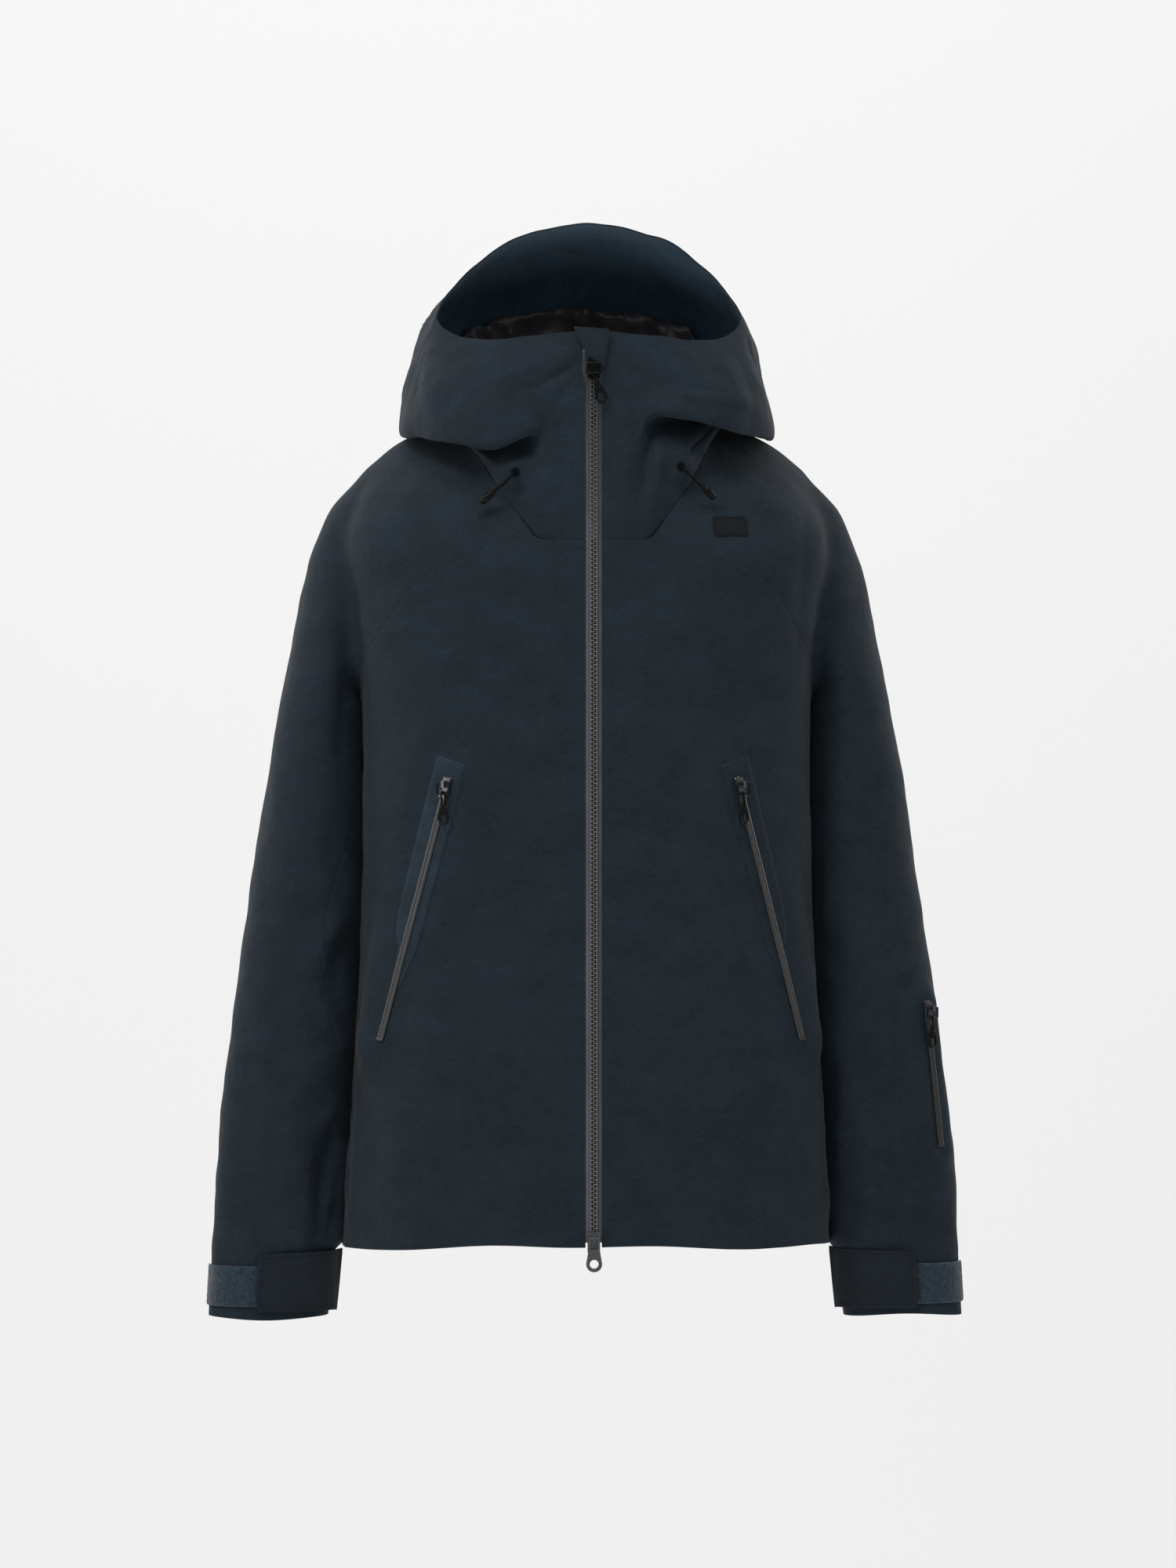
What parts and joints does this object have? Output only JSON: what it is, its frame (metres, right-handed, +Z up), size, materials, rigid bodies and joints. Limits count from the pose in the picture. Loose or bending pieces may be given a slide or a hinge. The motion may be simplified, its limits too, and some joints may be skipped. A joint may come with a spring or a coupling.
{
  "type": "ski jacket",
  "caption": "Hooded shell ski jacket, zip closed and hood up: welded front and sleeve pockets, moulded two-way zip, cuff tabs and a powder skirt.",
  "frame": {"origin": "where a peg bears on the inside of the hang loop, at the back of the neck", "axes": "+Z up, the front with the zip faces -Y, the wearer's left is +X"},
  "size_m": [0.6354, 0.2883, 0.9105],
  "materials": {
    "shell_fabric": "matte three-layer woven face, dark navy",
    "brim_fabric": "matte woven face over a stiff brim, dark navy",
    "lining": "thin glossy black taffeta",
    "webbing": "black woven tape",
    "zip_tape": "charcoal polyurethane-coated tape, satin",
    "zip_teeth": "moulded black teeth with bright glints",
    "hardware": "black lacquered zinc",
    "slider_grey": "dark grey lacquered zinc",
    "moulded_pull": "black moulded thermoplastic rubber",
    "cord": "black braided elastic cord",
    "loop_pile": "fuzzy hook-and-loop pile, blue teal",
    "hook_pile": "black hook tape",
    "badge": "satin-stitched thread, tonal black"
  },
  "bodies": {
    "root": {"front_body_right": "shell_fabric", "front_body_left": "shell_fabric", "back_body": "shell_fabric", "hem_band_right": "shell_fabric", "hem_band_left": "shell_fabric", "hem_band_back": "shell_fabric", "shoulder_right": "shell_fabric", "shoulder_left": "shell_fabric", "sleeve_right": "shell_fabric", "sleeve_left": "shell_fabric", "throat_panel_right": "shell_fabric", "throat_panel_left": "shell_fabric", "hood_side_right": "shell_fabric", "hood_side_left": "shell_fabric", "hood_centre": "shell_fabric", "hood_brim": "brim_fabric", "zip_garage": "brim_fabric", "neck_lining": "lining", "body_lining": "lining", "powder_skirt": "lining", "hang_loop": "webbing", "hand_pocket_bag_right": "lining", "hand_pocket_bag_left": "lining", "main_zip_tape_right": "zip_tape", "main_zip_tape_left": "zip_tape", "main_zip_teeth_right": "zip_teeth", "main_zip_teeth_left": "zip_teeth", "hand_zip_right": "zip_tape", "hand_zip_left": "zip_tape", "sleeve_zip": "zip_tape", "cuff_loop_patch_right": "loop_pile", "cuff_loop_patch_left": "loop_pile", "hood_cord_right": "cord", "hood_cord_left": "cord", "hood_cord_tip_right": "moulded_pull", "hood_cord_tip_left": "moulded_pull", "hood_eyelet_right": "moulded_pull", "hood_eyelet_left": "moulded_pull", "chest_emblem": "badge"},
    "top_slider": {"top_slider": "hardware"},
    "top_ring": {"top_slider_ring": "hardware"},
    "top_cord_pull": {"top_cord_pull": "moulded_pull"},
    "bottom_slider": {"bottom_slider": "hardware"},
    "bottom_pull": {"bottom_slider_pull": "hardware"},
    "hand_slider_right": {"hand_slider_right": "slider_grey"},
    "hand_ring_right": {"hand_ring_right": "hardware"},
    "hand_cord_pull_right": {"hand_cord_pull_right": "moulded_pull"},
    "hand_slider_left": {"hand_slider_left": "slider_grey"},
    "hand_ring_left": {"hand_ring_left": "hardware"},
    "hand_cord_pull_left": {"hand_cord_pull_left": "moulded_pull"},
    "sleeve_slider": {"sleeve_slider": "slider_grey"},
    "sleeve_ring": {"sleeve_ring": "hardware"},
    "sleeve_cord_pull": {"sleeve_cord_pull": "moulded_pull"},
    "cuff_tab_right": {"cuff_tab_right": "shell_fabric", "cuff_hook_patch_right": "hook_pile"},
    "cuff_tab_left": {"cuff_tab_left": "shell_fabric", "cuff_hook_patch_left": "hook_pile"}
  },
  "joints": [
    {"name": "top_slider_travel", "type": "slide", "parent": "root", "child": "top_slider", "axis": [0, 0, -1], "range_m": [0, 0.5]},
    {"name": "top_ring_swing", "type": "hinge", "parent": "top_slider", "child": "top_ring", "pos_m": [0, -0.2222, 0.0265], "axis": [-1, 0, 0], "range_deg": [0, 120]},
    {"name": "top_cord_pull_swing", "type": "hinge", "parent": "top_ring", "child": "top_cord_pull", "pos_m": [0, -0.2222, 0.0185], "axis": [-1, 0, 0], "range_deg": [0, 50]},
    {"name": "bottom_slider_travel", "type": "slide", "parent": "root", "child": "bottom_slider", "axis": [0, 0, 1], "range_m": [0, 0.16]},
    {"name": "bottom_pull_swing", "type": "hinge", "parent": "bottom_slider", "child": "bottom_pull", "pos_m": [0, -0.2222, -0.688], "axis": [-1, 0, 0], "range_deg": [0, 120]},
    {"name": "hand_slider_right_travel", "type": "slide", "parent": "root", "child": "hand_slider_right", "axis": [-0.2499, 0.1363, -0.9586], "range_m": [0, 0.195]},
    {"name": "hand_ring_right_swing", "type": "hinge", "parent": "hand_slider_right", "child": "hand_ring_right", "pos_m": [-0.123, -0.2152, -0.317], "axis": [-0.866, 0.5, 0], "range_deg": [0, 120]},
    {"name": "hand_cord_pull_right_swing", "type": "hinge", "parent": "hand_ring_right", "child": "hand_cord_pull_right", "pos_m": [-0.123, -0.2152, -0.325], "axis": [-0.866, 0.5, 0], "range_deg": [0, 50]},
    {"name": "hand_slider_left_travel", "type": "slide", "parent": "root", "child": "hand_slider_left", "axis": [0.2499, 0.1363, -0.9586], "range_m": [0, 0.195]},
    {"name": "hand_ring_left_swing", "type": "hinge", "parent": "hand_slider_left", "child": "hand_ring_left", "pos_m": [0.123, -0.2152, -0.317], "axis": [-0.866, -0.5, 0], "range_deg": [0, 120]},
    {"name": "hand_cord_pull_left_swing", "type": "hinge", "parent": "hand_ring_left", "child": "hand_cord_pull_left", "pos_m": [0.123, -0.2152, -0.325], "axis": [-0.866, -0.5, 0], "range_deg": [0, 50]},
    {"name": "sleeve_slider_travel", "type": "slide", "parent": "root", "child": "sleeve_slider", "axis": [0.1029, 0.0043, -0.9947], "range_m": [0, 0.1]},
    {"name": "sleeve_ring_swing", "type": "hinge", "parent": "sleeve_slider", "child": "sleeve_ring", "pos_m": [0.28778, -0.13716, -0.504], "axis": [-0.7771, -0.6293, 0], "range_deg": [0, 120]},
    {"name": "sleeve_cord_pull_swing", "type": "hinge", "parent": "sleeve_ring", "child": "sleeve_cord_pull", "pos_m": [0.28778, -0.13716, -0.512], "axis": [-0.7771, -0.6293, 0], "range_deg": [0, 50]},
    {"name": "cuff_tab_right_open", "type": "hinge", "parent": "root", "child": "cuff_tab_right", "pos_m": [-0.20989, -0.10003, -0.75634], "axis": [0.0963, 0.0192, 0.9952], "range_deg": [0, 100]},
    {"name": "cuff_tab_left_open", "type": "hinge", "parent": "root", "child": "cuff_tab_left", "pos_m": [0.20989, -0.10003, -0.75634], "axis": [0.0963, -0.0192, -0.9952], "range_deg": [0, 100]}
  ]
}
